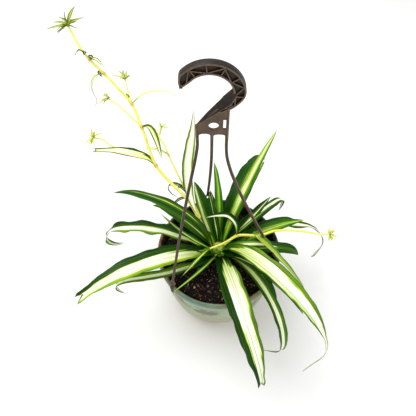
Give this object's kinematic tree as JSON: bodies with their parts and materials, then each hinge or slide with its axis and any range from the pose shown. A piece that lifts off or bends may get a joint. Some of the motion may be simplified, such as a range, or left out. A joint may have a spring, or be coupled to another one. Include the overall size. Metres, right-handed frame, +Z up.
{
  "type": "potted spider plant",
  "caption": "Variegated spider plant with arching striped leaves and runners, in a round plastic hanging pot with a three-strand hanger and hook, standing on its base.",
  "frame": {"origin": "centre of the pot's underside, where it stands on a surface", "axes": "+Z is up through the hook, +X is to the right with the hook's mouth to the left, and -Y is the front"},
  "size_m": [0.3445, 0.3475, 0.4119],
  "materials": {
    "pot": "antique grey-green moulded plastic, darker blue-green on the rim band",
    "soil": "matt damp bark and peat mix with pale bits",
    "crown": "smooth pale leaf bases",
    "leaf": "satin green leaf with a cream stripe along its middle",
    "hanger": "dark brown moulded plastic, satin",
    "runner": "smooth yellow stem",
    "bract": "thin pale leaf with green edges",
    "plantlet": "young olive and yellow leaves"
  },
  "bodies": {
    "root": {"pot": "pot", "potting_soil": "soil", "crown": "crown", "leaf_front_left_broad": "leaf", "leaf_left_wavy": "leaf", "leaf_left_long": "leaf", "leaf_left_torn": "leaf", "leaf_rear_left_tall": "leaf", "leaf_rear_white_line": "leaf", "leaf_rear_narrow": "leaf", "leaf_rear_right_dark": "leaf", "leaf_rear_right_tall": "leaf", "leaf_right_rear_folded": "leaf", "leaf_right_rear_pleated": "leaf", "leaf_right_lime": "leaf", "leaf_right_thin": "leaf", "leaf_right_curled": "leaf", "leaf_right_blunt": "leaf", "leaf_right_pale_arch": "leaf", "leaf_front_right_dark": "leaf", "leaf_right_front_broad": "leaf", "leaf_front_right_arch": "leaf", "leaf_front_broad": "leaf", "leaf_front_left_narrow": "leaf", "leaf_front_left_low": "leaf", "leaf_front_stub": "leaf", "hanger": "hanger", "tall_runner_stem": "runner", "pale_runner_stem": "runner", "right_runner_stem": "runner", "bract_tall_runner_broad": "bract", "bract_tall_runner_inner": "bract", "bract_tall_runner_fine": "bract", "bract_tall_runner_hooked": "bract", "bract_tall_runner_upper": "bract", "bract_right_runner": "bract", "bract_right_runner_curl": "bract", "bract_right_shoot_left": "bract", "bract_right_shoot_front": "bract", "bract_pale_runner_curl": "bract", "bract_pale_runner": "bract", "plantlet_tall_runner_tip": "plantlet", "plantlet_tall_runner_low": "plantlet", "plantlet_tall_runner_middle": "plantlet", "plantlet_tall_runner_high": "plantlet", "plantlet_pale_runner_tip": "plantlet", "plantlet_right_runner_tip": "plantlet"}
  },
  "joints": []
}
